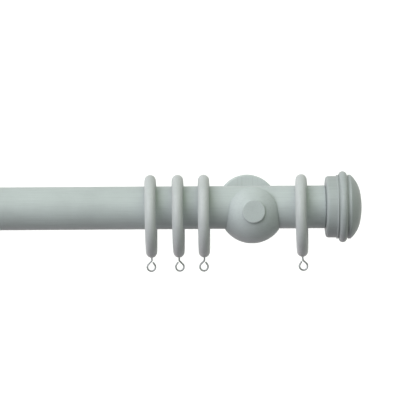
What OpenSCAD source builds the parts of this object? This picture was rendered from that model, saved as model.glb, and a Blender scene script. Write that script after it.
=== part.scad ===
// A painted wooden curtain pole on two open cup brackets, with a turned button finial on
// each end and wooden rings that carry steel screw eyes.
// X runs along the pole, +Y points into the wall and +Z up. The origin is on the wall, midway
// between the two brackets, at the height of the pole's axis.

/* [Pole] */
// Length of the pole between its two finials
pole_len = 1200; // [900:50:2400]
// Diameter of the pole
pole_d = 40; // [38:0.5:41]
// Distance from the wall to the pole's axis
wall_gap = 92; // [86:1:110]
// Distance from each end of the pole to the middle of its bracket
bracket_inset = 68.5; // [66:0.5:72]

/* [Bracket] */
// Diameter of the ball that the cup is cut from
ball_d = 61.6; // [61:0.2:63]
// How far the ball's centre lies under the pole's axis
ball_drop = 3.1; // [2.6:0.1:3.4]
// Diameter of the raised button on the cup
button_d = 22; // [18:0.5:23]
// Distance from the pole's axis to the button's flat front
button_front = 31.4; // [31:0.1:32.5]
// Diameter of the arm where it meets the cup and the rose
arm_d = 22; // [20:0.5:24]
// Diameter of the arm at its waist
arm_waist_d = 17; // [15:0.5:19]
// Diameter of the round rose on the wall
rose_d = 56; // [54:1:60]
// Thickness of the rose
rose_t = 12; // [11:0.5:14]
// Distance between the two wall screws of a rose
wall_screw_spacing = 34; // [33:0.5:38]
// Diameter of the holes for the wall screws
wall_screw_hole_d = 5; // [4.5:0.1:5.2]

/* [Finial] */
// Diameter of the finial's collar
collar_d = 57.4; // [56:0.2:59]
// Length of the collar
collar_len = 10; // [9:0.1:10.6]
// Diameter of the step before the bead, and of the shoulder after it
step_d = 59.8; // [59.5:0.1:61]
// Diameter over the bead
bead_d = 66.2; // [65:0.1:67]
// Width of the bead
bead_w = 7.6; // [6.8:0.1:8]
// Length of the finial, from the pole's end to the tip of its dome
finial_len = 33.7; // [33:0.1:36]

/* [Rings] */
// Outer diameter of a ring
ring_d = 77.2; // [76:0.2:79]
// Thickness of the wood of a ring
ring_t = 10.4; // [9.6:0.1:10.6]
// Outer diameter of the loop of a screw eye
loop_d = 9.1; // [9:0.1:10]
// Diameter of the wire of a screw eye
wire_d = 1.6; // [1.4:0.1:1.7]
// How far a screw eye hangs under its ring
eye_drop = 13.2; // [12.6:0.1:14]

/* [Fits] */
// Gap between the pole and the cup it lies in, and under a ring that hangs on it
pole_gap = 0.3; // [0.2:0.05:0.5]
// Radial gap round screws, studs and inserts in their holes
hole_gap = 0.05; // [0.03:0.01:0.08]

/* [Hidden] */
SIDES = ["left", "right"];
RINGS = [1, 2, 3, 4];
PAIRED = ["pole_insert", "finial", "finial_stud", "cup", "cup_button", "cup_screw",
    "lock_screw", "arm", "arm_bolt", "rose", "rose_insert"];

// Ring places along the pole from the bracket, counted outwards, and how far each has turned
// from square to the pole. The last one hangs between the bracket and the finial.
RING_X = [-94.4, -68.9, -44.9, 46.5];
RING_YAW = [-3.5, -3.8, -3.5, -4.5];
// How far each ring leans from upright on the pole; below zero its top leans inwards
RING_LEAN = [-0.9, -1, -0.4, -1];
// Which way the mouth of each eye looks: 0 towards the middle of the pole, 180 outwards
EYE_TURN = [180, 0, 180, 0];

PAINT = [0.69, 0.74, 0.72];
RING_PAINT = [0.74, 0.78, 0.76];
STEEL = [0.72, 0.72, 0.74];
BRASS = [0.80, 0.66, 0.36];

$fn = 96;
THIN_FN = 48;
CORNER_STEPS = 6;
OVER = 1; // how far a cut runs past the face it opens
LAP = 0.1; // how far the pieces of one solid run into each other

pole_r = pole_d / 2;
bracket_x = pole_len / 2 - bracket_inset;
pole_bevel = 0.8;

// Cup
ball_r = ball_d / 2;
seat_r = pole_r + pole_gap;
arm_seat_y = 27; // the spot face in the ball's back, from the pole's axis
button_seat_y = sqrt(pow(ball_r, 2) - pow(button_d / 2, 2));
button_edge_r = 1.2;
spigot_r = 3;
spigot_len = 5;

// Cup screw: a countersunk wood screw from the cradle through the cup's back into the arm
cup_screw_r = 2.5;
cup_screw_head_r = 4.7;
cup_screw_sink = 0.5; // its head lies this far under the cradle's back wall
cup_screw_len = 26;

// Every wood screw: the straight rim of its head, its hexagon socket and its blunt point
head_rim = 0.4;
socket_ratio = 0.42;
socket_depth = 1.6;
SOCKET_FN = 6;
screw_tip_r = 0.4;
end_room = 1; // how much deeper than its screw, bolt or stud a blind hole is

// Lock screw: a countersunk wood screw up through the bottom of the cup
lock_r = 1.75;
lock_head_r = 3.4;
lock_sink = 1; // its head lies this far inside the ball, and its point this far under the pole
lock_bottom_z = -(ball_drop + ball_r) + lock_sink;
lock_len = -(pole_r + lock_sink) - lock_bottom_z;

// Arm and its bolt into the rose
arm_end = wall_gap - rose_t;
arm_r = arm_d / 2;
arm_straight = 3;
bolt_r = 3.95;
bolt_in_arm = 25;
rose_insert_len = 10;
rose_insert_r = 5.5;
insert_sink = 0.1; // how far an insert's face lies under the wood round it
rose_edge_r = 2;
wall_screw_head_r = 4.6;
wall_screw_cone = 2.4;

// Finial and its stud
finial_gap = 0.1; // between the finial's flat inner face and the pole's end
stud_r = 2.95;
stud_in_finial = 18;
stud_in_pole = 20;
stud_hole_r = stud_r + hole_gap;
pole_insert_r = 4.5;
pole_insert_len = 14;
insert_slot_w = 1.2;
insert_slot_depth = 1.6;
collar_edge_r = 2.6;
step_edge_r = 0.8;
bead_r = bead_w / 2;
step_len = 2.2;
step_flat = 1.2; // the step's own width; a groove parts it from the bead
groove_w = 1.2;
groove_depth = 0.7;
bead_x = collar_len + step_len + bead_r;
shoulder_x = bead_x + bead_r + groove_w;
// The dome is a shallow cap inside a rounder edge that comes down to the shoulder
cap_r = 68;
cap_edge_r = 15;
cap_ledge = 0.1; // the cap starts this far inside the edge, so that their faces cross cleanly
dome_edge_r = 28;
cap_angle = asin(cap_edge_r / cap_r);
cap_x = finial_len - cap_r * (1 - cos(cap_angle));
dome_centre = [cap_edge_r + cap_ledge - dome_edge_r * sin(cap_angle),
    cap_x - dome_edge_r * cos(cap_angle)];
dome_angle = acos((step_d / 2 - dome_centre[0]) / dome_edge_r);

// Rings and screw eyes
ring_section_r = ring_t / 2;
ring_mid_r = ring_d / 2 - ring_section_r;
ring_z = pole_r + pole_gap - (ring_mid_r - ring_section_r);
wire_r = wire_d / 2;
loop_mid_r = loop_d / 2 - wire_r;
loop_z = -(eye_drop - loop_d / 2);
loop_x = 0.5; // how far the loop's centre lies beside the shank's axis, on the neck's side
loop_start = 45; // where the neck runs into the loop, from the outward horizontal
loop_sweep = 259;
mouth_tilt = 180 - (loop_start + 360 - loop_sweep); // the open end's slope from upright
mouth_straight = 2.3;
neck_bend_r = 1.7;
neck_straight = (loop_x + loop_mid_r * cos(loop_start)
    - neck_bend_r * (1 - cos(loop_start))) / sin(loop_start);
eye_depth = 8;
knuckle_extra = 0.05;
knuckle_room = 0.1; // how far each stretch of wire stops short of the middle of its knuckle

// Puts a part that is drawn round the pole's axis at the left or the right bracket. The left
// side is the mirror image of the right.
module at_bracket(side) {
    mirror([side == "left" ? 1 : 0, 0, 0]) translate([bracket_x, -wall_gap, 0]) children();
}

// Puts a part that is drawn outwards from the pole's end at the left or the right end
module at_end(side) {
    mirror([side == "left" ? 1 : 0, 0, 0]) translate([pole_len / 2, -wall_gap, 0]) children();
}

// A cylinder along +X or +Y from its start
module rod_x(r, h) { rotate([0, 90, 0]) cylinder(r = r, h = h); }
module rod_y(r, h) { rotate([-90, 0, 0]) cylinder(r = r, h = h); }

// Points of a rounded corner about a centre, from one angle to another
function corner(centre, r, from, to) = [for (i = [0:CORNER_STEPS])
    centre + r * [cos(from + (to - from) * i / CORNER_STEPS),
        sin(from + (to - from) * i / CORNER_STEPS)]];

// A countersunk wood screw along +Z: head face at z = 0, shank down to a short point
module wood_screw(r, head_r, length) {
    point_len = 2 * r;
    difference() {
        rotate_extrude() polygon([
            [0, 0], [head_r, 0], [head_r, head_rim], [r, head_rim + head_r - r],
            [r, length - point_len], [screw_tip_r, length], [0, length]
        ]);
        translate([0, 0, -OVER])
            cylinder(r = head_r * socket_ratio, h = OVER + socket_depth, $fn = SOCKET_FN);
    }
}

// The hole that a countersunk screw lies in, open at its head's side
module wood_screw_hole(r, head_r, length) {
    rim = head_rim + hole_gap;
    translate([0, 0, -head_r]) cylinder(r = head_r + hole_gap, h = head_r + rim);
    translate([0, 0, rim]) cylinder(r1 = head_r + hole_gap, r2 = r + hole_gap, h = head_r - r);
    cylinder(r = r + hole_gap, h = length + end_room);
}

module pole() {
    color(PAINT) translate([-pole_len / 2, -wall_gap, 0]) difference() {
        rotate([0, 90, 0]) rotate_extrude() polygon([
            [0, 0], [pole_r - pole_bevel, 0], [pole_r, pole_bevel],
            [pole_r, pole_len - pole_bevel], [pole_r - pole_bevel, pole_len], [0, pole_len]
        ]);
        for (end = [0, 1]) translate([end * pole_len, 0, 0]) mirror([end, 0, 0]) {
            translate([-OVER, 0, 0])
                rod_x(pole_insert_r + hole_gap, OVER + pole_insert_len + insert_sink);
            rod_x(stud_hole_r + pole_gap, stud_in_pole + 2 * end_room);
        }
    }
}

// Threaded brass insert in the end of the pole, with a driving slot across its face
module pole_insert() {
    color(BRASS) difference() {
        translate([-pole_insert_len, 0, 0]) rod_x(pole_insert_r, pole_insert_len - insert_sink);
        translate([-pole_insert_len - OVER, 0, 0]) rod_x(stud_hole_r, pole_insert_len + 2 * OVER);
        translate([-insert_slot_depth, -insert_slot_w / 2, -pole_r])
            cube([insert_slot_depth + OVER, insert_slot_w, pole_d]);
    }
}

// Half of the finial's outline: radius along X, distance from the pole's end along Y
module finial_outline() {
    collar_r = collar_d / 2;
    step_r = step_d / 2;
    groove_r = step_r - groove_depth;
    polygon(concat(
        [[0, 0]],
        corner([collar_r - collar_edge_r, collar_edge_r], collar_edge_r, -90, 0),
        [[collar_r, collar_len]],
        corner([step_r - step_edge_r, collar_len + step_edge_r], step_edge_r, -90, 0),
        [[step_r, collar_len + step_flat], [groove_r, collar_len + step_flat],
            [groove_r, shoulder_x], [step_r, shoulder_x]],
        corner(dome_centre, dome_edge_r, dome_angle, 90 - cap_angle),
        [[0, cap_x]]
    ));
    translate([bead_d / 2 - bead_r, bead_x]) circle(r = bead_r);
    intersection() {
        translate([0, finial_len - cap_r]) circle(r = cap_r, $fn = 360);
        translate([0, cap_x - LAP]) square([cap_edge_r, cap_edge_r]);
    }
}

module finial() {
    color(PAINT) translate([finial_gap, 0, 0]) rotate([0, 90, 0]) difference() {
        rotate_extrude() finial_outline();
        translate([0, 0, -OVER]) cylinder(r = stud_hole_r, h = OVER + stud_in_finial + end_room);
    }
}

module finial_stud() {
    color(STEEL) translate([-stud_in_pole, 0, 0])
        rod_x(stud_r, stud_in_pole + finial_gap + stud_in_finial);
}

module cup() {
    color(PAINT) difference() {
        translate([0, 0, -ball_drop]) sphere(r = ball_r);
        // the open cradle that the pole is laid into from above
        translate([-ball_d, 0, 0]) rod_x(seat_r, 2 * ball_d);
        translate([-ball_d, -seat_r, 0]) cube([2 * ball_d, 2 * seat_r, ball_d]);
        // spot face for the arm, and the screw that holds it
        translate([0, arm_seat_y, 0]) rod_y(arm_r + hole_gap, ball_r);
        translate([0, seat_r + cup_screw_sink, 0]) rotate([-90, 0, 0])
            wood_screw_hole(cup_screw_r, cup_screw_head_r, cup_screw_len);
        // seat of the button and the hole for its spigot
        translate([0, -button_seat_y, -ball_drop]) rotate([90, 0, 0])
            cylinder(r = button_d / 2 + hole_gap, h = ball_r);
        translate([0, -button_seat_y - OVER, -ball_drop])
            rod_y(spigot_r + hole_gap, OVER + spigot_len + end_room / 2);
        // lock screw
        translate([0, 0, lock_bottom_z]) wood_screw_hole(lock_r, lock_head_r, lock_len + OVER);
    }
}

module cup_button() {
    h = button_front - button_seat_y;
    color(PAINT) translate([0, -button_seat_y, -ball_drop]) rotate([90, 0, 0]) {
        rotate_extrude() {
            square([button_d / 2, h - button_edge_r]);
            square([button_d / 2 - button_edge_r, h]);
            translate([button_d / 2 - button_edge_r, h - button_edge_r]) circle(r = button_edge_r);
            translate([0, -spigot_len]) square([spigot_r, spigot_len + LAP]);
        }
    }
}

module cup_screw() {
    color(STEEL) translate([0, seat_r + cup_screw_sink, 0]) rotate([-90, 0, 0])
        wood_screw(cup_screw_r, cup_screw_head_r, cup_screw_len, $fn = THIN_FN);
}

module lock_screw() {
    color(STEEL) translate([0, 0, lock_bottom_z])
        wood_screw(lock_r, lock_head_r, lock_len, $fn = THIN_FN);
}

// Turned neck between the cup and the rose, with a shallow waist
module arm() {
    length = arm_end - arm_seat_y;
    waist_len = length - 2 * arm_straight;
    sag = arm_r - arm_waist_d / 2;
    waist_r = (pow(waist_len / 2, 2) + pow(sag, 2)) / (2 * sag);
    color(PAINT) translate([0, arm_seat_y, 0]) rotate([-90, 0, 0]) difference() {
        cylinder(r = arm_r, h = length);
        translate([0, 0, length / 2]) rotate_extrude()
            translate([arm_waist_d / 2 + waist_r, 0]) circle(r = waist_r, $fn = 360);
        translate([0, 0, -OVER]) cylinder(r = cup_screw_r + hole_gap,
            h = OVER + seat_r + cup_screw_sink + cup_screw_len + end_room - arm_seat_y);
        translate([0, 0, length - bolt_in_arm - end_room])
            cylinder(r = bolt_r + hole_gap, h = bolt_in_arm + end_room + OVER);
    }
}

// Hanger bolt: wood thread in the arm, machine thread in the rose's insert
module arm_bolt() {
    color(STEEL) translate([0, arm_end - bolt_in_arm, 0])
        rod_y(bolt_r, bolt_in_arm + rose_insert_len - end_room / 2);
}

module rose() {
    color(PAINT) translate([0, arm_end, 0]) rotate([-90, 0, 0]) difference() {
        rotate_extrude() {
            square([rose_d / 2 - rose_edge_r, rose_t]);
            translate([0, rose_edge_r]) square([rose_d / 2, rose_t - rose_edge_r]);
            translate([rose_d / 2 - rose_edge_r, rose_edge_r]) circle(r = rose_edge_r);
        }
        translate([0, 0, -OVER]) cylinder(r = rose_insert_r + hole_gap,
            h = OVER + rose_insert_len + 2 * insert_sink);
        for (s = [-1, 1]) translate([s * wall_screw_spacing / 2, 0, 0]) {
            translate([0, 0, -OVER]) cylinder(d = wall_screw_hole_d, h = rose_t + 2 * OVER);
            cylinder(r1 = wall_screw_head_r, r2 = wall_screw_hole_d / 2, h = wall_screw_cone);
        }
    }
}

// Threaded brass insert in the middle of the rose
module rose_insert() {
    color(BRASS) translate([0, arm_end + insert_sink, 0]) difference() {
        rod_y(rose_insert_r, rose_insert_len);
        translate([0, -OVER, 0]) rod_y(bolt_r + hole_gap, rose_insert_len + 2 * OVER);
    }
}

// Places ring n on its side of the pole; the ring's centre is the local origin
module at_ring(n) {
    translate([RING_X[n - 1], 0, ring_z]) rotate([0, RING_LEAN[n - 1], RING_YAW[n - 1]])
        children();
}

module ring(n) {
    color(RING_PAINT) at_ring(n) difference() {
        rotate([0, 90, 0]) rotate_extrude() translate([ring_mid_r, 0]) circle(r = ring_section_r);
        translate([0, 0, -ring_d / 2 - OVER])
            cylinder(r = wire_r + hole_gap, h = OVER + eye_depth + end_room / 2, $fn = THIN_FN);
    }
}

// Screw eye: a straight shank up into the ring, a bent neck and an open loop under it, whose end
// runs straight up beside the neck. A knuckle a hair thicker than the wire joins each stretch to
// the next and rounds the open end.
module eye(n) {
    neck_end = [loop_x + loop_mid_r * cos(loop_start), 0, loop_z + loop_mid_r * sin(loop_start)];
    bend_end = neck_end + neck_straight * [-sin(loop_start), 0, cos(loop_start)];
    bend_z = bend_end[2] + neck_bend_r * sin(loop_start);
    mouth = loop_start - loop_sweep;
    mouth_start = [loop_x + loop_mid_r * cos(mouth), 0, loop_z + loop_mid_r * sin(mouth)];
    color(STEEL) at_ring(n) translate([0, 0, -ring_d / 2]) rotate([0, 0, EYE_TURN[n - 1]]) {
        translate([0, 0, bend_z + knuckle_room])
            cylinder(r = wire_r, h = eye_depth - bend_z - knuckle_room, $fn = THIN_FN);
        knuckle([0, 0, bend_z]);
        bent_wire([neck_bend_r, 0, bend_z], neck_bend_r, 180, loop_start);
        knuckle(bend_end);
        straight_wire(neck_end, -loop_start, neck_straight);
        knuckle(neck_end);
        bent_wire([loop_x, 0, loop_z], loop_mid_r, mouth, loop_sweep);
        knuckle(mouth_start);
        straight_wire(mouth_start, mouth_tilt, mouth_straight);
        knuckle(mouth_start + mouth_straight * [sin(mouth_tilt), 0, cos(mouth_tilt)]);
    }
}

// A straight stretch of wire upwards from a place, tilted from upright, which stops just inside
// the knuckles at its ends
module straight_wire(place, tilt, h) {
    translate(place) rotate([0, tilt, 0]) translate([0, 0, knuckle_room])
        cylinder(r = wire_r, h = h - 2 * knuckle_room, $fn = THIN_FN);
}

module knuckle(place) { translate(place) sphere(r = wire_r + knuckle_extra, $fn = THIN_FN); }

// A wire bent round a centre in the upright plane, from one angle through a sweep, which stops
// just inside the knuckles at its ends
module bent_wire(centre, bend_r, from, sweep) {
    short = knuckle_room / bend_r * 180 / PI;
    translate(centre) rotate([90, 0, 0]) rotate([0, 0, from + short])
        rotate_extrude(angle = sweep - 2 * short)
            translate([bend_r, 0]) circle(r = wire_r, $fn = THIN_FN);
}

pole();
for (side = SIDES) {
    at_end(side) pole_insert();
    at_end(side) finial();
    at_end(side) finial_stud();
    at_bracket(side) cup();
    at_bracket(side) cup_button();
    at_bracket(side) cup_screw();
    at_bracket(side) lock_screw();
    at_bracket(side) arm();
    at_bracket(side) arm_bolt();
    at_bracket(side) rose();
    at_bracket(side) rose_insert();
    for (n = RINGS) {
        at_bracket(side) ring(n);
        at_bracket(side) eye(n);
    }
}
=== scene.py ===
import math

import bmesh
import bpy
import numpy as np
from mathutils import Matrix, Vector


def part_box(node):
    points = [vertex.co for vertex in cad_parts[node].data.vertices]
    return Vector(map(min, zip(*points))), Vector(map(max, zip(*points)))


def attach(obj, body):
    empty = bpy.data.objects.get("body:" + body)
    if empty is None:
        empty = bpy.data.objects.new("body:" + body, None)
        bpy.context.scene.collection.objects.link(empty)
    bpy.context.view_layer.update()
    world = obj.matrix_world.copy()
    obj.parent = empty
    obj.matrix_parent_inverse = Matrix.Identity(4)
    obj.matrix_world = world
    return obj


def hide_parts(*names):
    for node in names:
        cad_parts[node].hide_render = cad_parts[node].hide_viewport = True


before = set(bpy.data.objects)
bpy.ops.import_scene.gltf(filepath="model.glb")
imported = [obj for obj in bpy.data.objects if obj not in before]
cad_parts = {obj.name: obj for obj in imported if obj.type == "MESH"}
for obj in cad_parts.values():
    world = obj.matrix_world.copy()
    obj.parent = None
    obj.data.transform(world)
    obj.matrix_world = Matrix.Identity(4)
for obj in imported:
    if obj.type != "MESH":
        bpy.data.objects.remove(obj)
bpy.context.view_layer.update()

MM = 0.001
SIDES = ("left", "right")
RINGS = (1, 2, 3, 4)
BRACKETS = "brackets"


# ---------------------------------------------------------------- places, from the CAD frame
def middle(node):
    """Centre of a node's box, in millimetres."""
    low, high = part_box(node)
    return (low + high) / 2 / MM


POLE_R = (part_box("pole")[1].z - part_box("pole")[0].z) / 2 / MM
POLE_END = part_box("pole")[1].x / MM
AXIS_Y = middle("pole").y          # the wall's surface is y = 0
BRACKET_X = middle("cup_right").x
BALL_R = 30.8
BALL_DROP = -(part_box("cup_right")[0].z / MM + BALL_R)


def at_bracket(side):
    """Puts a part that is drawn round the pole's axis at a bracket; the left side is mirrored."""
    sign = -1 if side == "left" else 1
    return Matrix.Translation((sign * BRACKET_X, AXIS_Y, 0)) @ Matrix.Diagonal((sign, 1, 1, 1))


def at_end(side):
    """Puts a part that is drawn outwards from the pole's end at that end."""
    sign = -1 if side == "left" else 1
    return Matrix.Translation((sign * POLE_END, AXIS_Y, 0)) @ Matrix.Diagonal((sign, 1, 1, 1))


# Turning the lathe's own axis, Z, onto the part's axis
TO_X = Matrix.Rotation(math.radians(90), 4, "Y")
TO_Y = Matrix.Rotation(math.radians(-90), 4, "X")
TO_FRONT = Matrix.Rotation(math.radians(90), 4, "X")


# ---------------------------------------------------------------- mesh tools
def rounded(points, steps=6):
    """A polyline of (radius, along) points; a third number rounds that corner by that much."""
    out = []
    for i, p in enumerate(points):
        here = np.array(p[:2], float)
        fillet = p[2] if len(p) > 2 else 0
        if not fillet:
            out.append(tuple(here))
            continue
        back = np.array(points[i - 1][:2], float) - here
        ahead = np.array(points[i + 1][:2], float) - here
        back /= np.linalg.norm(back)
        ahead /= np.linalg.norm(ahead)
        half = math.acos(max(-1, min(1, back @ ahead))) / 2
        centre = here + (back + ahead) / np.linalg.norm(back + ahead) * fillet / math.sin(half)
        start = here + back * fillet / math.tan(half) - centre
        end = here + ahead * fillet / math.tan(half) - centre
        sweep = math.pi - 2 * half
        for k in range(steps + 1):
            t = k / steps
            a = math.sin((1 - t) * sweep) / math.sin(sweep)
            b = math.sin(t * sweep) / math.sin(sweep)
            out.append(tuple(centre + a * start + b * end))
    return out


def arc(centre, r, start, end, steps):
    """Points of an arc in the (radius, along) plane, angles in degrees from the radius's way."""
    turns = np.radians(np.linspace(start, end, steps + 1))
    return [(centre[0] + r * math.cos(t), centre[1] + r * math.sin(t)) for t in turns]


def split(points, longest):
    """The same polyline with its long stretches cut into even shorter ones."""
    out = [points[0]]
    for a, b in zip(points, points[1:]):
        n = max(1, math.ceil(math.dist(a, b) / longest))
        out += [(a[0] + (b[0] - a[0]) * k / n, a[1] + (b[1] - a[1]) * k / n)
                for k in range(1, n + 1)]
    return out


def lathe(points, steps, thread=None, closed=False):
    """A bmesh of an outline turned about Z. A point of radius 0 becomes one vertex.

    thread is (start, end, pitch, depth): between those heights the surface carries a helix.
    """
    rows, verts, faces = [], [], []
    turns = np.linspace(0, 2 * math.pi, steps, endpoint=False)
    for r, h in points:
        if r < 1e-6:
            rows.append([len(verts)])
            verts.append((0, 0, h))
            continue
        rows.append(range(len(verts), len(verts) + steps))
        for t in turns:
            own = r
            if thread and thread[0] < h < thread[1]:
                start, end, pitch, depth = thread
                fade = min(1, (h - start) / pitch, (end - h) / pitch)
                wave = abs(((h / pitch + t / (2 * math.pi)) % 1) * 2 - 1)
                own = r - depth * fade * min(1, wave * 1.25)
            verts.append((own * math.cos(t), own * math.sin(t), h))
    pairs = list(zip(rows, rows[1:])) + ([(rows[-1], rows[0])] if closed else [])
    for a, b in pairs:
        for i in range(steps):
            j = (i + 1) % steps
            if len(a) == 1:
                faces.append((a[0], b[j], b[i]))
            elif len(b) == 1:
                faces.append((a[i], a[j], b[0]))
            else:
                faces.append((a[i], a[j], b[j], b[i]))
    return solid(verts, faces)


def solid(verts, faces, merge=0.0):
    """A bmesh from points and faces, with its faces turned outwards."""
    bm = bmesh.new()
    made = [bm.verts.new(v) for v in verts]
    for f in faces:
        bm.faces.new([made[i] for i in f])
    if merge:
        bmesh.ops.remove_doubles(bm, verts=bm.verts, dist=merge)
        bmesh.ops.dissolve_degenerate(bm, edges=bm.edges, dist=merge / 2)
    bmesh.ops.recalc_face_normals(bm, faces=bm.faces)
    return bm


def placed(bm, matrix):
    """The bmesh moved by a matrix, still facing outwards if the matrix mirrors it."""
    bm.transform(matrix)
    if matrix.determinant() < 0:
        bmesh.ops.reverse_faces(bm, faces=bm.faces)
    return bm


def to_mesh(bm, name):
    mesh = bpy.data.meshes.new(name)
    bm.to_mesh(mesh)
    bm.free()
    return mesh


def cut(bm, cutters):
    """The bmesh with each cutter taken away from it."""
    scene = bpy.context.scene.collection
    whole = bpy.data.objects.new("whole", to_mesh(bm, "whole"))
    scene.objects.link(whole)
    tools = []
    for cutter in cutters:
        tool = bpy.data.objects.new("cutter", to_mesh(cutter, "cutter"))
        scene.objects.link(tool)
        tools.append(tool)
        mod = whole.modifiers.new("cut", "BOOLEAN")
        mod.operation, mod.solver, mod.object = "DIFFERENCE", "EXACT", tool
    bpy.context.view_layer.update()
    mesh = bpy.data.meshes.new_from_object(whole.evaluated_get(
        bpy.context.evaluated_depsgraph_get()))
    out = bmesh.new()
    out.from_mesh(mesh)
    for o in [whole] + tools:
        bpy.data.objects.remove(o)
    return out


def piece(name, bm, matrix, body, paint, nodes, crease=35):
    """Adds one piece to the scene: its mesh in the row frame, its body, slot and finish."""
    bm.transform(Matrix.Scale(MM, 4) @ matrix)
    bmesh.ops.recalc_face_normals(bm, faces=bm.faces)
    mesh = to_mesh(bm, name)
    mesh.shade_smooth()
    mesh.set_sharp_from_angle(angle=math.radians(crease))
    mesh.materials.append(paint)
    obj = bpy.data.objects.new(name, mesh)
    bpy.context.scene.collection.objects.link(obj)
    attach(obj, body)
    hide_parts(*nodes)
    return obj


# ---------------------------------------------------------------- materials
def node_material(name):
    mat = bpy.data.materials.new(name)
    mat.use_nodes = True
    tree = mat.node_tree
    shader = tree.nodes["Principled BSDF"]
    coords = tree.nodes.new("ShaderNodeTexCoord")
    return mat, tree, shader, coords


def noise(tree, coords, scale, detail=3.0, stretch=(1, 1, 1), rough=0.5):
    """A noise in metres: scale is cells per metre before the stretch."""
    mapping = tree.nodes.new("ShaderNodeMapping")
    mapping.inputs["Scale"].default_value = [scale * s for s in stretch]
    tree.links.new(coords.outputs["Object"], mapping.inputs["Vector"])
    node = tree.nodes.new("ShaderNodeTexNoise")
    node.inputs["Scale"].default_value = 1
    node.inputs["Detail"].default_value = detail
    node.inputs["Roughness"].default_value = rough
    tree.links.new(mapping.outputs["Vector"], node.inputs["Vector"])
    return node.outputs["Fac"]


def ramp(tree, fac, stops):
    node = tree.nodes.new("ShaderNodeValToRGB")
    tree.links.new(fac, node.inputs["Fac"])
    ends = node.color_ramp.elements
    while len(ends) < len(stops):
        ends.new(0.5)
    for e, (place, colour) in zip(ends, stops):
        e.position = place
        e.color = (*colour, 1)
    return node.outputs["Color"]


def grey(v):
    return (v, v, v)


def mix(tree, fac, a, b, blend="MIX"):
    node = tree.nodes.new("ShaderNodeMix")
    node.data_type, node.blend_type = "RGBA", blend
    for value, socket in ((fac, 0), (a, 6), (b, 7)):
        if isinstance(value, bpy.types.NodeSocket):
            tree.links.new(value, node.inputs[socket])
        elif isinstance(value, (int, float)):
            node.inputs[socket].default_value = value
        else:
            node.inputs[socket].default_value = (*value, 1)
    return node.outputs[2]


def bump(tree, height, strength, distance, under=None):
    node = tree.nodes.new("ShaderNodeBump")
    node.inputs["Strength"].default_value = strength
    node.inputs["Distance"].default_value = distance
    tree.links.new(height, node.inputs["Height"])
    if under is not None:
        tree.links.new(under, node.inputs["Normal"])
    return node.outputs["Normal"]


# How fine each noise in the paint is, in cells per metre
CLOUDS = 28
SHEEN = 160
ORANGE_PEEL = 620
STREAKS = 900
TOOL_MARKS = 1100
SPECKS = 1500
PAINT_IOR = 1.45


def wood_paint(name, colour, grain, across):
    """Satin paint over close-grained wood. grain is how the grain noise is stretched, and
    across the stretch of the fine marks that turning or brushing left."""
    mat, tree, shader, coords = node_material(name)
    links = tree.links
    dark = tuple(c * 0.93 for c in colour)
    light = tuple(min(1, c * 1.05) for c in colour)
    in_grain = tuple(c * 0.86 for c in colour)
    cloud = noise(tree, coords, CLOUDS, 4, rough=0.6)
    base = ramp(tree, cloud, [(0.3, dark), (0.5, colour), (0.72, light)])
    streak = noise(tree, coords, STREAKS, 3, grain, 0.6)
    base = mix(tree, ramp(tree, streak, [(0.36, grey(0.40)), (0.52, grey(0))]), base, in_grain)
    speck = noise(tree, coords, SPECKS, 1)
    base = mix(tree, ramp(tree, speck, [(0.70, grey(0)), (0.76, grey(0.30))]), base, light)
    links.new(base, shader.inputs["Base Color"])
    links.new(ramp(tree, noise(tree, coords, SHEEN, 3), [(0.3, grey(0.43)), (0.7, grey(0.56))]),
              shader.inputs["Roughness"])
    shader.inputs["IOR"].default_value = PAINT_IOR
    peel = bump(tree, noise(tree, coords, ORANGE_PEEL, 2), 0.22, 0.00025)
    lines = bump(tree, streak, 0.42, 0.00014, peel)
    marks = bump(tree, noise(tree, coords, TOOL_MARKS, 1, across), 0.16, 0.00010, lines)
    links.new(marks, shader.inputs["Normal"])
    return mat


def metal(name, dark, light, rough, scratch=(1, 1, 1), patches=300):
    """Bare or plated metal with patches from dark to light, stains and fine scratches."""
    mat, tree, shader, coords = node_material(name)
    links = tree.links
    shader.inputs["Metallic"].default_value = 1.0
    tone = ramp(tree, noise(tree, coords, patches, 4, rough=0.6), [(0.3, dark), (0.7, light)])
    stain = ramp(tree, noise(tree, coords, 90, 3), [(0.55, grey(0)), (0.8, grey(0.35))])
    tone = mix(tree, stain, tone, tuple(c * 0.7 for c in dark))
    links.new(tone, shader.inputs["Base Color"])
    links.new(ramp(tree, noise(tree, coords, 1400, 3, scratch),
                   [(0.3, grey(rough * 0.75)), (0.7, grey(rough * 1.35))]),
              shader.inputs["Roughness"])
    fine = bump(tree, noise(tree, coords, 4200, 2, scratch), 0.18, 0.00003)
    links.new(bump(tree, noise(tree, coords, 500, 2), 0.10, 0.00005, fine),
              shader.inputs["Normal"])
    return mat


# One paint, matched to the photo on the pole and cup, the rings, the finial and the rose
PAINT = (0.498, 0.542, 0.538)
RING_PAINT = (0.527, 0.548, 0.548)
# The finial's copy is about a fifth darker than the pole's: painted shade on the finial.
FINIAL_PAINT_WITH_PAINTED_SHADE = (0.388, 0.420, 0.418)
# The rose's copy is lighter than the pole's: painted light on the rose.
ROSE_PAINT_WITH_PAINTED_LIGHT = (0.530, 0.576, 0.566)
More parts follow.
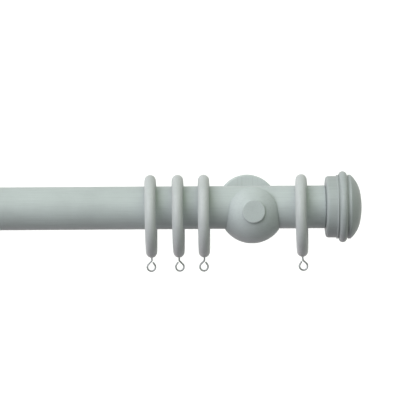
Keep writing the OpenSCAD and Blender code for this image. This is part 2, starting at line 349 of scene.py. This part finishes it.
# How the grain or the tool marks are stretched: long along an axis, or long round it
ALONG_X = (0.03, 1, 1)
ALONG_Y = (1, 0.03, 1)
ALONG_Z = (1, 1, 0.03)
ROUND_X = (1, 0.05, 0.05)
ROUND_Y = (0.05, 1, 0.05)
PAINT_ALONG_POLE = wood_paint("satin_paint_along_pole", PAINT, ALONG_X, ALONG_X)
# The finials' paint carries painted shade: its colour is a darker copy of the one paint.
PAINT_TURNED_X_WITH_PAINTED_SHADE = wood_paint("satin_paint_with_painted_shade_turned_on_pole_axis", FINIAL_PAINT_WITH_PAINTED_SHADE, ALONG_X, ROUND_X)
PAINT_CUP = wood_paint("satin_paint_cup", PAINT, ALONG_X, ROUND_X)
PAINT_TURNED_Y = wood_paint("satin_paint_turned_on_wall_axis", PAINT, ALONG_Y, ROUND_Y)
# The rose's paint carries painted light: its colour is a lighter copy of the one paint.
PAINT_ROSE_WITH_PAINTED_LIGHT = wood_paint("satin_paint_faceplate_with_painted_light", ROSE_PAINT_WITH_PAINTED_LIGHT, ALONG_Z, ROUND_Y)
PAINT_RINGS = wood_paint("satin_paint_rings", RING_PAINT, ALONG_Z, ROUND_X)
NICKEL = metal("nickel_plated_wire", (0.38, 0.385, 0.39), (0.50, 0.505, 0.51), 0.40)
ZINC = metal("zinc_plated_steel", (0.46, 0.48, 0.52), (0.66, 0.68, 0.71), 0.36, patches=700)
BRASS = metal("machined_brass", (0.62, 0.44, 0.17), (0.80, 0.62, 0.30), 0.28, ROUND_X)


# ---------------------------------------------------------------- the pole
POLE_EASE = 0.9                    # how far its ends are chamfered
STUD_ROOM_R = 3.3                  # the bare hole for the stud, deeper in than the insert
STUD_ROOM_DEPTH = 22.0
INSERT_HOLE_R = 4.55
INSERT_HOLE_DEPTH = 14.1
HOLE_EASE = 0.35
STRAIGHT = 40.0                    # this far from its end its side is straight
POLE_ROW = 25                      # the longest stretch between two rows of vertices


def pole():
    """Round pole with eased ends, bored at both for an insert and a stud."""
    half = rounded([
        (0, -STUD_ROOM_DEPTH), (STUD_ROOM_R, -STUD_ROOM_DEPTH),
        (STUD_ROOM_R, -INSERT_HOLE_DEPTH), (INSERT_HOLE_R, -INSERT_HOLE_DEPTH),
        (INSERT_HOLE_R, -HOLE_EASE), (INSERT_HOLE_R + HOLE_EASE, 0),
        (POLE_R - POLE_EASE, 0, 0.3), (POLE_R, -POLE_EASE, 0.4), (POLE_R, -STRAIGHT)], 4)
    half = [(r, h + POLE_END) for r, h in half]
    other = [(r, -h) for r, h in reversed(half)]
    outline = split(half + other, POLE_ROW)
    piece("pole_wood", lathe(outline, 192), Matrix.Translation((0, AXIS_Y, 0)) @ TO_X,
          "pole", PAINT_ALONG_POLE, ["pole"])


# ---------------------------------------------------------------- finial
FINIAL_GAP = 0.1                   # between the pole's end and the finial's inner face
FINIAL_LEN = 33.7
STUD_HOLE_R = 3.0
STUD_HOLE_END = 19.0
STUD_HOLE_EASE = 0.4
COLLAR_R = 28.7
COLLAR_EASE = 2.6
COLLAR_END = 10.0
STEP_R = 29.9                      # the step's and the shoulder's
STEP_END = 11.2
GROOVE_R = 29.2
BEAD = (29.3, 16.0)                # the centre of the bead's own round
BEAD_R = 3.8
SHOULDER = 21.0
CAP_R = 68.0                       # the shallow middle of the dome, and where it ends
CAP_EDGE_R = 15.0
DOME_EDGE_R = 28.0                 # the rounder edge that comes down to the shoulder


def finial_outline():
    """The turned button's half outline from the bottom of its stud hole to its tip."""
    meet_groove = math.degrees(math.acos((GROOVE_R - BEAD[0]) / BEAD_R))
    cap = math.asin(CAP_EDGE_R / CAP_R)
    cap_x = FINIAL_LEN - CAP_R * (1 - math.cos(cap))
    edge = (CAP_EDGE_R - DOME_EDGE_R * math.sin(cap), cap_x - DOME_EDGE_R * math.cos(cap))
    base = math.degrees(math.acos((STEP_R - edge[0]) / DOME_EDGE_R))
    points = rounded([
        (0, STUD_HOLE_END), (STUD_HOLE_R, STUD_HOLE_END), (STUD_HOLE_R, STUD_HOLE_EASE),
        (STUD_HOLE_R + STUD_HOLE_EASE, 0), (COLLAR_R, 0, COLLAR_EASE),
        (COLLAR_R, COLLAR_END, 0.25), (STEP_R, COLLAR_END, 0.8), (STEP_R, STEP_END, 0.2),
        (GROOVE_R, STEP_END, 0.2),
        (GROOVE_R, BEAD[1] - BEAD_R * math.sin(math.radians(meet_groove)))])
    points += arc(BEAD, BEAD_R, -meet_groove, meet_groove, 32)[1:]
    points += rounded([
        points[-1], (GROOVE_R, SHOULDER, 0.2), (STEP_R, SHOULDER, 0.35),
        (STEP_R, edge[1] + DOME_EDGE_R * math.sin(math.radians(base)))])[1:-1]
    cap = math.degrees(cap)
    points += arc(edge, DOME_EDGE_R, base, 90 - cap, 24)
    points += arc((0, FINIAL_LEN - CAP_R), CAP_R, 90 - cap, 90, 10)[1:]
    return split([(max(r, 0) if r > 1e-4 else 0, h) for r, h in points], 4)


STUD_R = 2.94
STUD_TIP_R = 2.1
STUD_START = -20                   # in the pole
STUD_END = 18.1                    # in the finial
STUD_THREAD = (-19.2, 17.4, 1.0, 0.5)
INSERT_R = 4.48
INSERT_BORE_R = 3.0
INSERT_LEN = 14.0
INSERT_SINK = 0.1                  # how far an insert's face lies under the wood round it
INSERT_EDGE_R = 4.2
INSERT_THREAD = (-13.6, -1.2, 1.6, 0.55)
DRIVING_SLOT = (1.2, 12, 3.2)      # a block; half of its depth lies in the brass


def finials():
    for side in SIDES:
        put = at_end(side) @ Matrix.Translation((FINIAL_GAP, 0, 0)) @ TO_X
        piece(f"finial_turning_{side}", lathe(finial_outline(), 224), put, f"finial_{side}",
              PAINT_TURNED_X_WITH_PAINTED_SHADE, [f"finial_{side}"], 28)
        stud = [(0, STUD_START), (STUD_TIP_R, STUD_START), (STUD_R, -19.1)]
        stud += [(STUD_R, h) for h in np.arange(-19, 17.25, 0.125)]
        stud += [(STUD_R, 17.3), (STUD_TIP_R, STUD_END), (0, STUD_END)]
        piece(f"finial_stud_thread_{side}", lathe(stud, 40, STUD_THREAD),
              at_end(side) @ TO_X, f"finial_{side}", ZINC,
              [f"finial_stud_{side}"], 60)
        pole_insert(side)


def pole_insert(side):
    """Brass insert: coarse outer thread, smooth bore, and a driving slot across its face."""
    tube = [(INSERT_BORE_R, -INSERT_LEN), (INSERT_BORE_R, -0.45), (3.3, -INSERT_SINK),
            (INSERT_EDGE_R, -INSERT_SINK), (INSERT_R, -0.4)]
    tube += [(INSERT_R, h) for h in np.arange(-0.6, -13.6, -0.2)]
    tube += [(INSERT_R, -13.7), (INSERT_EDGE_R, -INSERT_LEN)]
    bm = lathe(tube, 56, INSERT_THREAD, closed=True)
    slot = bmesh.new()
    bmesh.ops.create_cube(slot, size=1)
    slot.transform(Matrix.Diagonal((*DRIVING_SLOT, 1)))
    piece(f"pole_insert_brass_{side}", cut(bm, [slot]), at_end(side) @ TO_X, "pole", BRASS,
          [f"pole_insert_{side}"], 50)


# ---------------------------------------------------------------- bracket
# Each Y is a distance from the pole's axis: towards the wall, or to the front on the button
SLOT_R = POLE_R + 0.3
CUP_EDGE = 0.6                     # the radius of the cradle's rounded edge
FREE = 0.05                        # the room that the button, its plug and the arm have
BEYOND = 40                        # where a cutter ends, outside the ball
BUTTON_R = 11.0
BUTTON_FRONT_Y = 31.4
BUTTON_SEAT_Y = 28.77
PLUG_R = 3.0
PLUG_END_Y = 23.8
ARM_SEAT_Y = 27.0
ARM_END_Y = 80.0
ARM_R = 11.0
ARM_WAIST_R = 8.5
ARM_STRAIGHT = 3
CUP_SCREW_R = 2.48
CUP_SCREW_HEAD_R = 4.65
CUP_SCREW_HOLE_R = 2.55
CUP_SCREW_HEAD_HOLE_R = 4.75
CUP_SCREW_CONE = (21.25, 23.4)     # where the cone under its head begins and ends
CUP_SCREW_LEN = 26
CUP_SCREW_PITCH = 2.2
CUP_SCREW_END_Y = 47.8             # where its hole ends in the arm
LOCK_SCREW_R = 1.73
LOCK_SCREW_HEAD_R = 3.35
LOCK_HOLE_R = 1.8
LOCK_HEAD_HOLE_R = 3.45
LOCK_CONE = (-32.15, -30.5)
LOCK_PITCH = 1.5
LOCK_SINK = 1                      # how far its head lies inside the ball
LOCK_POINT_Z = -21                 # its point stops short of the pole
BOLT_R = 3.93
BOLT_TIP_R = 3.2
BOLT_HOLE_R = 4.0
BOLT_HOLE_Y = 54                   # where its hole begins in the arm
BOLT_START_Y = 55
BOLT_END_Y = 89.5
BOLT_THREAD = (56, 88.8, 1.25, 0.6)
ROSE_R = 28
ROSE_T = 12
ROSE_EASE = 1.4
ROSE_HOLE_R = 5.55                 # for its insert
ROSE_HOLE_DEPTH = 10.2
WALL_SCREW_X = 17
WALL_SCREW_HOLE_R = 2.5
WALL_SCREW_HEAD_R = 4.8
WALL_SCREW_CONE = 2.4
ROSE_INSERT_R = 5.48
ROSE_INSERT_EDGE_R = 5.2
ROSE_INSERT_BORE_R = 4.0


def cup():
    """The ball with its open cradle, its edges eased, drawn as one grid of closed loops that
    run from the bottom of the ball up one side, across the cradle and down the other side."""
    inner, wall = BALL_R - CUP_EDGE, SLOT_R + CUP_EDGE
    reach = math.sqrt(inner ** 2 - wall ** 2)
    low = math.asin(BALL_DROP / reach)
    wall_rows, bed_rows, skin_steps, edge_steps, bed_steps = 26, 37, 37, 6, 16
    # Each station is the centre of the small round on the cradle's edge, with the way into the
    # wood across Y and Z. They run down one side wall, round the bed and up the other.
    stations = []
    for t in np.linspace(math.pi / 2, low, wall_rows)[:-1]:
        stations.append((reach * math.cos(t), -wall, reach * math.sin(t) - BALL_DROP, (-1, 0)))
    for t in np.linspace(-math.pi / 2, 0, bed_rows):
        y, z = wall * math.sin(t), -wall * math.cos(t)
        x = math.sqrt(inner ** 2 - y ** 2 - (z + BALL_DROP) ** 2)
        stations.append((x, y, z, (math.sin(t), -math.cos(t))))
    stations += [(x, -y, z, (-n[0], n[1])) for x, y, z, n in reversed(stations[:-1])]
    centre = np.array([0, 0, -BALL_DROP])
    down = np.array([0, 0, -1.0])
    rows = []
    for x, y, z, way in stations:
        way = np.array([0, way[0], way[1]])
        half = []
        roll = np.array([max(x, 0), y, z])
        out = (roll - centre) / np.linalg.norm(roll - centre)
        span = math.acos(down @ out)
        for t in np.linspace(0, 1, skin_steps)[:-1]:
            p = (math.sin((1 - t) * span) * down + math.sin(t * span) * out) / math.sin(span)
            half.append(centre + BALL_R * p)
        bend = math.acos(max(-1, min(1, out @ -way)))
        for t in np.linspace(0, 1, edge_steps):
            p = (math.sin((1 - t) * bend) * out + math.sin(t * bend) * -way) / math.sin(bend)
            half.append(roll + CUP_EDGE * p)
        for t in np.linspace(1, 0, bed_steps)[1:]:
            half.append(np.array([roll[0] * t, roll[1], roll[2]]) - CUP_EDGE * way)
        mirrored = [p * (-1, 1, 1) for p in reversed(half[:-1])]
        rows.append(half + mirrored)
    width = len(rows[0])
    verts = [tuple(p) for row in rows for p in row]
    faces = [(a * width + i, a * width + i + 1, (a + 1) * width + i + 1, (a + 1) * width + i)
             for a in range(len(rows) - 1) for i in range(width - 1)]
    bm = solid(verts, faces, 1e-4)
    seat_r = ARM_R + FREE
    arm_seat = lathe([(0, ARM_SEAT_Y), (seat_r, ARM_SEAT_Y), (seat_r, BEYOND), (0, BEYOND)], 96)
    head_r, shank_r = CUP_SCREW_HEAD_HOLE_R, CUP_SCREW_HOLE_R
    screw = lathe([(0, 12), (head_r, 12), (head_r, CUP_SCREW_CONE[0]),
                   (shank_r, CUP_SCREW_CONE[1]), (shank_r, 35), (0, 35)], 72)
    button_r, plug_r, plug_y = BUTTON_R + FREE, PLUG_R + FREE, BUTTON_SEAT_Y - 5.5
    button_seat = lathe([
        (0, plug_y), (plug_r, plug_y), (plug_r, BUTTON_SEAT_Y), (button_r, BUTTON_SEAT_Y),
        (button_r, BEYOND), (0, BEYOND)], 96)
    head_r, shank_r = LOCK_HEAD_HOLE_R, LOCK_HOLE_R
    lock = lathe([(0, -BEYOND), (head_r, -BEYOND), (head_r, LOCK_CONE[0]),
                  (shank_r, LOCK_CONE[1]), (shank_r, -15), (0, -15)], 48)
    to_button = Matrix.Translation((0, 0, -BALL_DROP)) @ TO_FRONT
    return cut(bm, [placed(arm_seat, TO_Y), placed(screw, TO_Y), placed(button_seat, to_button),
                    lock])


HEAD_RIM = 0.4
SOCKET_RATIO = 0.42                # the hexagon's corners as a part of the head's radius
SOCKET_DEPTH = 1.6


def wood_screw(r, head_r, length, pitch):
    """Countersunk screw along +Z: head face at 0, hexagon socket, coarse thread, sharp point."""
    shank = [(r, h) for h in np.arange(head_r - r + 1.0, length - 2.6 * r, pitch / 8)]
    tip = [(r * t, length - 2.5 * r * t) for t in np.linspace(0.96, 0.08, 12)]
    outline = rounded([(0, 0), (head_r - 0.1, 0, 0.12), (head_r, HEAD_RIM, 0.1),
                       (r, HEAD_RIM + head_r - r, 0.3), shank[0]], 3)
    outline = outline[:-1] + shank + tip + [(0, length)]
    bm = lathe(outline, 48, (shank[0][1] + pitch, length - 0.5, pitch, r * 0.3))
    corner = head_r * SOCKET_RATIO
    return cut(bm, [lathe([(0, -2), (corner, -2), (corner, SOCKET_DEPTH), (0, SOCKET_DEPTH)],
                          6)])


def brackets():
    cup_mesh = to_mesh(cup(), "cup")
    for side in SIDES:
        here = at_bracket(side)
        bm = bmesh.new()
        bm.from_mesh(cup_mesh)
        piece(f"cup_{side}_ball", bm, here, BRACKETS, PAINT_CUP,
              [f"cup_{side}"], 30)
        front = here @ Matrix.Translation((0, 0, -BALL_DROP)) @ TO_FRONT
        button = [(r, BUTTON_FRONT_Y) for r in (0, 2.5, 5.0, 7.5)]
        button += rounded([
            (0, BUTTON_FRONT_Y), (BUTTON_R, BUTTON_FRONT_Y, 1.2), (BUTTON_R, BUTTON_SEAT_Y, 0.2),
            (PLUG_R, BUTTON_SEAT_Y), (PLUG_R, 24.05), (2.7, PLUG_END_Y), (0, PLUG_END_Y)], 8)[1:]
        piece(f"cup_button_cap_{side}", lathe(button, 128), front, BRACKETS, PAINT_TURNED_Y,
              [f"cup_button_{side}"], 40)
        piece(f"cup_screw_steel_{side}",
              wood_screw(CUP_SCREW_R, CUP_SCREW_HEAD_R, CUP_SCREW_LEN, CUP_SCREW_PITCH),
              here @ Matrix.Translation((0, SLOT_R + 0.5, 0)) @ TO_Y, BRACKETS, ZINC,
              [f"cup_screw_{side}"], 50)
        lock_z = -(BALL_DROP + BALL_R) + LOCK_SINK
        piece(f"lock_screw_steel_{side}",
              wood_screw(LOCK_SCREW_R, LOCK_SCREW_HEAD_R, LOCK_POINT_Z - lock_z, LOCK_PITCH),
              here @ Matrix.Translation((0, 0, lock_z)), BRACKETS, ZINC,
              [f"lock_screw_{side}"], 50)
        arm(side, here)
        rose(side, here)


def arm(side, here):
    """Turned neck with a shallow waist, bored for the cup screw and for the hanger bolt."""
    start, end = ARM_SEAT_Y + ARM_STRAIGHT, ARM_END_Y - ARM_STRAIGHT
    mid, half, sag = (start + end) / 2, (end - start) / 2, ARM_R - ARM_WAIST_R
    bend = (half ** 2 + sag ** 2) / (2 * sag)
    curve = [(ARM_WAIST_R + bend - math.sqrt(bend ** 2 - (h - mid) ** 2), h)
             for h in np.linspace(start, end, 41)]
    outline = rounded(
        [(0, CUP_SCREW_END_Y), (CUP_SCREW_HOLE_R, CUP_SCREW_END_Y),
         (CUP_SCREW_HOLE_R, ARM_SEAT_Y), (ARM_R, ARM_SEAT_Y, 0.3)] + curve
        + [(ARM_R, ARM_END_Y, 0.3), (BOLT_HOLE_R, ARM_END_Y), (BOLT_HOLE_R, BOLT_HOLE_Y),
           (0, BOLT_HOLE_Y)])
    piece(f"arm_neck_{side}", lathe(outline, 128), here @ TO_Y, BRACKETS, PAINT_TURNED_Y,
          [f"arm_{side}"], 40)
    bolt = [(0, BOLT_START_Y), (BOLT_TIP_R, BOLT_START_Y), (BOLT_R, 56)]
    bolt += [(BOLT_R, h) for h in np.arange(56.2, 88.6, 0.2)]
    bolt += [(BOLT_R, 88.7), (BOLT_TIP_R, BOLT_END_Y), (0, BOLT_END_Y)]
    piece(f"arm_bolt_thread_{side}", lathe(bolt, 40, BOLT_THREAD), here @ TO_Y,
          BRACKETS, ZINC, [f"arm_bolt_{side}"], 60)


def rose(side, here):
    """Round plate on the wall with two countersunk screw holes and a brass insert."""
    front = ARM_END_Y
    back = front + ROSE_T
    plate = rounded([
        (0, front + ROSE_HOLE_DEPTH), (ROSE_HOLE_R, front + ROSE_HOLE_DEPTH),
        (ROSE_HOLE_R, front), (ROSE_R, front, ROSE_EASE), (ROSE_R, back, 0.4), (0, back)], 10)
    holes = []
    for s in (-1, 1):
        hole = [(0, front - 2), (WALL_SCREW_HEAD_R, front - 2), (WALL_SCREW_HEAD_R, front),
                (WALL_SCREW_HOLE_R, front + WALL_SCREW_CONE), (WALL_SCREW_HOLE_R, back + 2),
                (0, back + 2)]
        holes.append(placed(lathe(hole, 64),
                            Matrix.Translation((s * WALL_SCREW_X, 0, 0)) @ TO_Y))
    bm = cut(placed(lathe(split(plate, 3), 192), TO_Y), holes)
    piece(f"rose_plate_{side}", bm, here, BRACKETS, PAINT_ROSE_WITH_PAINTED_LIGHT, [f"rose_{side}"],
          30)
    tube = [(ROSE_INSERT_BORE_R, front + INSERT_SINK), (ROSE_INSERT_BORE_R, front + 10.1),
            (ROSE_INSERT_EDGE_R, front + 10.1), (ROSE_INSERT_R, front + 9.8)]
    tube += [(ROSE_INSERT_R, h) for h in np.arange(front + 9.6, front + 0.6, -0.2)]
    tube += [(ROSE_INSERT_R, front + 0.4), (ROSE_INSERT_EDGE_R, front + INSERT_SINK)]
    piece(f"rose_insert_brass_{side}",
          lathe(tube, 56, (front + 0.5, front + 9.7, 1.6, 0.5), closed=True), here @ TO_Y,
          BRACKETS, BRASS, [f"rose_insert_{side}"], 50)


# ---------------------------------------------------------------- rings and screw eyes
# How each ring is turned a little from square, and which way its eye looks, in degrees
RING_YAW = {1: -3.5, 2: -3.8, 3: -3.5, 4: -4.5}
RING_LEAN = {1: -0.9, 2: -1.0, 3: -0.4, 4: -1.0}
EYE_TURN = {1: 180, 2: 0, 3: 180, 4: 0}
RING_MID = 33.4                    # from the ring's centre to the middle of its wood
RING_WOOD = 5.2                    # the wood's own radius
DRILL_R = 0.85
DRILL_DEPTH = 8.5
WIRE = 0.8                         # the wire's own radius
WIRE_SIDES = 24
SHANK = 8.0                        # how far the screw reaches into the ring
THREAD_LEN = 6.6
THREAD_PITCH = 0.9
THREAD_DEPTH = 0.2
LOOP_MID = 3.75                    # from the loop's centre to the middle of the wire
LOOP_X = 0.5                       # the loop's centre lies beside the shank's axis
LOOP_Z = -8.65
LOOP_START = 45                    # where the neck runs into the loop
LOOP_SWEEP = 259
MOUTH = 2.3                        # the straight open end beside the neck
NECK_BEND = 1.7


def ring_matrix(side, n):
    """The ring's own place: its centre, its axis along X before its small yaw."""
    sign = -1 if side == "left" else 1
    centre = middle(f"ring_{side}_{n}")
    return (Matrix.Translation(centre) @ Matrix.Diagonal((sign, 1, 1, 1))
            @ Matrix.Rotation(math.radians(RING_YAW[n]), 4, "Z")
            @ Matrix.Rotation(math.radians(RING_LEAN[n]), 4, "Y"))


def ring_mesh():
    section = arc((RING_MID, 0), RING_WOOD, 0, 360, 48)[:-1]
    bm = placed(lathe(section, 176, closed=True), TO_X)
    bottom = -(RING_MID + RING_WOOD)
    drill = lathe([(0, bottom - 2), (DRILL_R, bottom - 2), (DRILL_R, bottom + DRILL_DEPTH),
                   (0, bottom + DRILL_DEPTH)], 24)
    return to_mesh(cut(bm, [drill]), "ring")


def eye_mesh():
    """Bent wire with a gimlet point and a wood thread on its shank, above a plain neck."""
    turn = math.radians(LOOP_START)
    centre = np.array([LOOP_X, LOOP_Z])
    neck = centre + LOOP_MID * np.array([math.cos(turn), math.sin(turn)])
    straight = (neck[0] - NECK_BEND * (1 - math.cos(turn))) / math.sin(turn)
    bend_end = neck + straight * np.array([-math.sin(turn), math.cos(turn)])
    bend_z = bend_end[1] + NECK_BEND * math.sin(turn)
    path = [(0, z) for z in np.arange(SHANK, 0.5, -0.1)]
    path += [(0, z) for z in np.linspace(0.5, bend_z, 12)]
    path += [(NECK_BEND * (1 - math.cos(a)), bend_z - NECK_BEND * math.sin(a))
             for a in np.linspace(0, turn, 10)[1:]]
    path += [tuple(bend_end + (neck - bend_end) * t) for t in np.linspace(0, 1, 5)[1:]]
    path += [tuple(centre + LOOP_MID * np.array([math.cos(a), math.sin(a)]))
             for a in np.radians(np.linspace(LOOP_START, LOOP_START - LOOP_SWEEP, 80))[1:]]
    end = math.radians(LOOP_START - LOOP_SWEEP)
    mouth, way = np.array(path[-1]), np.array([math.sin(end), -math.cos(end)])
    path += [tuple(mouth + way * t) for t in np.linspace(0, MOUTH, 6)[1:]]
    path += [tuple(mouth + way * (MOUTH + WIRE * math.sin(a)))
             for a in np.radians(np.linspace(0, 75, 9))[1:]]
    path = np.array(path, float)
    ahead = np.gradient(path, axis=0)
    ahead /= np.linalg.norm(ahead, axis=1)[:, None]
    done = np.concatenate([[0], np.cumsum(np.linalg.norm(np.diff(path, axis=0), axis=1))])
    sides, verts = WIRE_SIDES, []
    for (x, z), (dx, dz), s in zip(path, ahead, done):
        left = done[-1] - s + 0.03
        point, tip = min(1.0, 0.15 + s / 1.6), math.sqrt(1 - max(0, 1 - left / WIRE) ** 2)
        for k in range(sides):
            a = 2 * math.pi * k / sides
            groove = 0
            if s < THREAD_LEN:
                wave = abs(((s / THREAD_PITCH + k / sides) % 1) * 2 - 1)
                groove = THREAD_DEPTH * min(1, (THREAD_LEN - s) / 0.8) * min(1, wave * 1.2)
            r = (WIRE - groove) * point * tip
            verts.append((x - dz * r * math.cos(a), r * math.sin(a), z + dx * r * math.cos(a)))
    rows = len(path)
    faces = [(i * sides + k, i * sides + (k + 1) % sides, (i + 1) * sides + (k + 1) % sides,
              (i + 1) * sides + k) for i in range(rows - 1) for k in range(sides)]
    faces += [tuple(range(sides)), tuple(range((rows - 1) * sides, rows * sides))]
    return to_mesh(solid(verts, faces), "eye")


def rings():
    ring, eye = ring_mesh(), eye_mesh()
    for side in SIDES:
        for n in RINGS:
            here = ring_matrix(side, n)
            bm = bmesh.new()
            bm.from_mesh(ring)
            piece(f"ring_wood_{side}_{n}", bm, here, f"ring_{side}_{n}", PAINT_RINGS,
                  [f"ring_{side}_{n}"])
            bm = bmesh.new()
            bm.from_mesh(eye)
            hang = here @ Matrix.Translation((0, 0, -(RING_MID + RING_WOOD)))
            piece(f"eye_wire_{side}_{n}", bm,
                  hang @ Matrix.Rotation(math.radians(EYE_TURN[n]), 4, "Z"),
                  f"eye_{side}_{n}", NICKEL, [f"eye_{side}_{n}"], 60)


# ---------------------------------------------------------------- camera, light and floor
CAMERA_AZ = -2.75
CAMERA_EL = 1.8
CAMERA_ROLL = -0.28
CAMERA_DISTANCE = 8.0
SENSOR = 36
PICTURE = 416                      # pixels each way
MM_PER_PIXEL = 0.9324
BALL_PIXEL = (252.0, 210.6)        # where the right ball's centre lies in the picture


def camera():
    """A long lens, placed so that the right-hand ball's centre lands on BALL_PIXEL."""
    a, e = math.radians(CAMERA_AZ), math.radians(CAMERA_EL)
    right = Vector((math.cos(a), math.sin(a), 0))
    up = Vector((-math.sin(a) * math.sin(e), math.cos(a) * math.sin(e), math.cos(e)))
    back = right.cross(up)
    ball = Vector((BRACKET_X, AXIS_Y, -BALL_DROP)) * MM
    aim = (ball + right * (PICTURE / 2 - BALL_PIXEL[0]) * MM_PER_PIXEL * MM
           + up * (BALL_PIXEL[1] - PICTURE / 2) * MM_PER_PIXEL * MM)
    cam = bpy.data.objects.new("camera", bpy.data.cameras.new("camera"))
    bpy.context.scene.collection.objects.link(cam)
    cam.data.sensor_width = SENSOR
    cam.data.lens = SENSOR * CAMERA_DISTANCE / (PICTURE * MM_PER_PIXEL * MM)
    cam.data.clip_start, cam.data.clip_end = 0.1, 5000
    turn = Matrix((right, up, back)).transposed() @ Matrix.Rotation(
        math.radians(CAMERA_ROLL), 3, "Z")
    cam.matrix_world = Matrix.Translation(aim + back * CAMERA_DISTANCE) @ turn.to_4x4()
    bpy.context.scene.camera = cam


def heading(az, el):
    """The way from the object to a light: az is to the right of the camera's side, el is up."""
    a, e = math.radians(az), math.radians(el)
    return math.sin(a) * math.cos(e), -math.cos(a) * math.cos(e), math.sin(e)


def sun(name, way, strength, colour, spread):
    """A broad distant light; way is the direction it comes from."""
    data = bpy.data.lights.new(name, "SUN")
    data.energy, data.color, data.angle = strength, colour, math.radians(spread)
    obj = bpy.data.objects.new(name, data)
    bpy.context.scene.collection.objects.link(obj)
    obj.rotation_mode = "QUATERNION"
    obj.rotation_quaternion = Vector(way).normalized().to_track_quat("Z", "Y")


def lobe(tree, coords, way, power, colour):
    """Light from the sky that is strongest from one way and falls off around it."""
    dot = tree.nodes.new("ShaderNodeVectorMath")
    dot.operation = "DOT_PRODUCT"
    tree.links.new(coords.outputs["Generated"], dot.inputs[0])
    dot.inputs[1].default_value = Vector(way).normalized()
    front = tree.nodes.new("ShaderNodeMath")
    front.operation = "MAXIMUM"
    front.inputs[1].default_value = 0
    tree.links.new(dot.outputs["Value"], front.inputs[0])
    fall = tree.nodes.new("ShaderNodeMath")
    fall.operation = "POWER"
    fall.inputs[1].default_value = power
    tree.links.new(front.outputs[0], fall.inputs[0])
    tint = tree.nodes.new("ShaderNodeVectorMath")
    tint.operation = "SCALE"
    tint.inputs[0].default_value = colour
    tree.links.new(fall.outputs[0], tint.inputs["Scale"])
    return tint.outputs[0]


# The sky's light: the way it comes from, how narrow it is, and its colour
SKY = (((0, 1, 0), 1, (0.88, 0.89, 0.83)),
       ((-1, 0, 0), 1, (0.31, 0.40, 0.29)),
       ((1, 0, 0), 1, (0.41, 0.43, 0.41)),
       ((-0.6, 0.6, -0.5), 2, (0.34, 0.18, 0.34)),
       ((0, 0.7, 0.7), 2, (0.16, 0.14, 0.19)),
       ((-0.1, -0.35, -0.93), 3, (0.115, 0.118, 0.120)))
SUN_SPREAD = 60


def studio():
    """Two broad suns and a tinted sky for the object; the camera sees plain white behind it."""
    sun("key", heading(-40, 25), 2.45, (1.0, 0.98, 1.07), SUN_SPREAD)
    sun("top", heading(20, 50), 0.84, (0.90, 1.04, 0.78), SUN_SPREAD)
    world = bpy.data.worlds.new("studio")
    bpy.context.scene.world = world
    world.use_nodes = True
    tree = world.node_tree
    tree.nodes.clear()
    coords = tree.nodes.new("ShaderNodeTexCoord")
    total = None
    for way, power, colour in SKY:
        part = lobe(tree, coords, way, power, colour)
        if total is not None:
            add = tree.nodes.new("ShaderNodeVectorMath")
            tree.links.new(total, add.inputs[0])
            tree.links.new(part, add.inputs[1])
            part = add.outputs[0]
        total = part
    lit = tree.nodes.new("ShaderNodeBackground")
    tree.links.new(total, lit.inputs["Color"])
    seen = tree.nodes.new("ShaderNodeBackground")
    seen.inputs["Color"].default_value = (1, 1, 1, 1)
    path = tree.nodes.new("ShaderNodeLightPath")
    both = tree.nodes.new("ShaderNodeMixShader")
    tree.links.new(path.outputs["Is Camera Ray"], both.inputs["Fac"])
    tree.links.new(lit.outputs[0], both.inputs[1])
    tree.links.new(seen.outputs[0], both.inputs[2])
    out = tree.nodes.new("ShaderNodeOutputWorld")
    tree.links.new(both.outputs[0], out.inputs["Surface"])
    bpy.context.scene.view_settings.view_transform = "Standard"


def floor():
    """A wide plain pale floor a little below the object."""
    size, below = 2000.0, -1.6
    mesh = bpy.data.meshes.new("floor")
    mesh.from_pydata([(x * size, y * size, below) for x, y in ((-1, -1), (1, -1), (1, 1), (-1, 1))],
                     [], [(0, 1, 2, 3)])
    mat, tree, shader, coords = node_material("pale_floor")
    cloud = ramp(tree, noise(tree, coords, 1.5, 2), [(0.3, grey(0.90)), (0.7, grey(0.93))])
    tree.links.new(cloud, shader.inputs["Base Color"])
    shader.inputs["Roughness"].default_value = 0.9
    shader.inputs["Emission Color"].default_value = (1, 1, 1, 1)
    shader.inputs["Emission Strength"].default_value = 0.25
    mesh.materials.append(mat)
    obj = bpy.data.objects.new("floor", mesh)
    bpy.context.scene.collection.objects.link(obj)
    obj.visible_diffuse = obj.visible_glossy = False


pole()
finials()
brackets()
rings()
camera()
studio()
floor()
